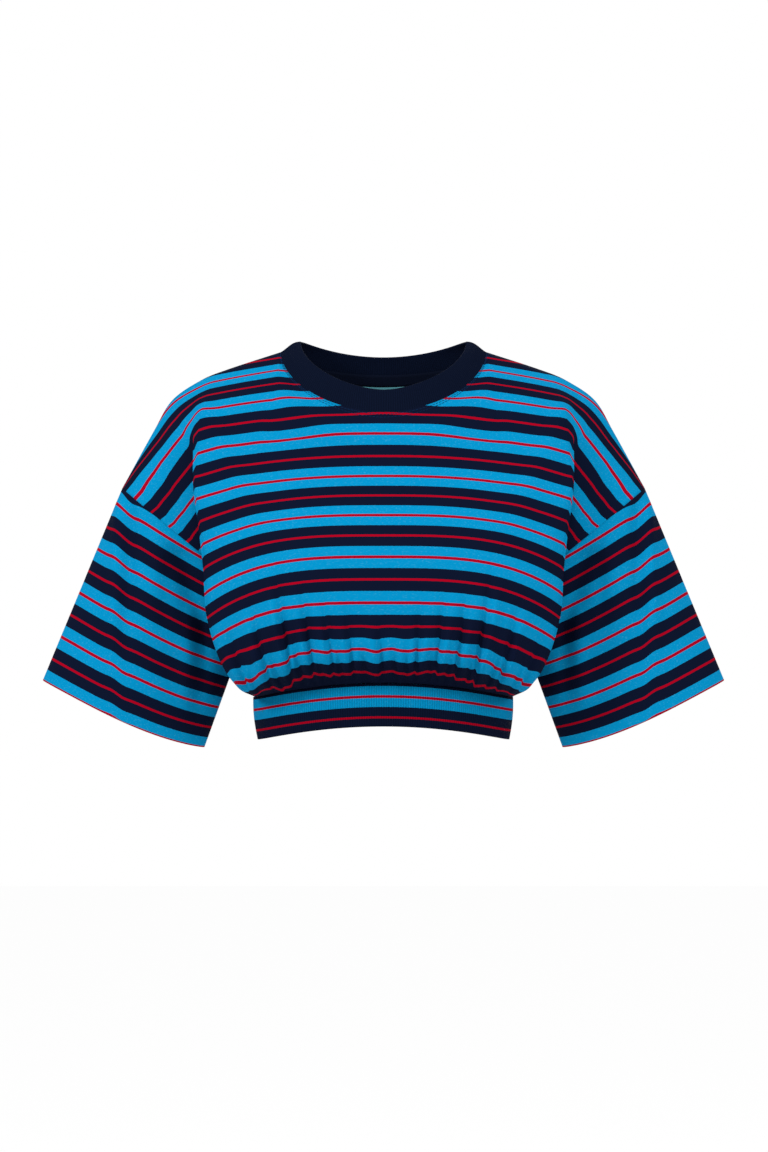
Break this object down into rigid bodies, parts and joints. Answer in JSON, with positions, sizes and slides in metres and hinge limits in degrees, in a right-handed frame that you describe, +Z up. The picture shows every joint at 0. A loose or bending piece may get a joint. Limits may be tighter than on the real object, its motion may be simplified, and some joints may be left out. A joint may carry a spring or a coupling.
{
  "type": "crop top",
  "caption": "Cropped drop-shoulder top in striped jersey with wide sleeves, a rib neck and a gathered striped waistband.",
  "frame": {"origin": "middle of the line between the two shoulder points of the neck seam, where a wearer's shoulders hold it", "axes": "+X to the wearer's left, +Y to the wearer's back, +Z up"},
  "size_m": [0.681, 0.2411, 0.4092],
  "materials": {
    "striped_jersey": "matte cotton jersey, bands of navy and blue with a thin red line in each",
    "striped_rib": "matte fine rib with the same stripe",
    "navy_rib": "matte fine rib, navy",
    "navy_tape": "matte cotton tape, navy",
    "teal_label": "woven satin, teal, blank"
  },
  "bodies": {
    "root": {"front_panel": "striped_jersey", "back_panel": "striped_jersey", "sleeve_left": "striped_jersey", "sleeve_right": "striped_jersey", "neck_rib": "navy_rib", "waistband": "striped_rib", "neck_tape": "navy_tape", "neck_label": "teal_label"}
  },
  "joints": []
}
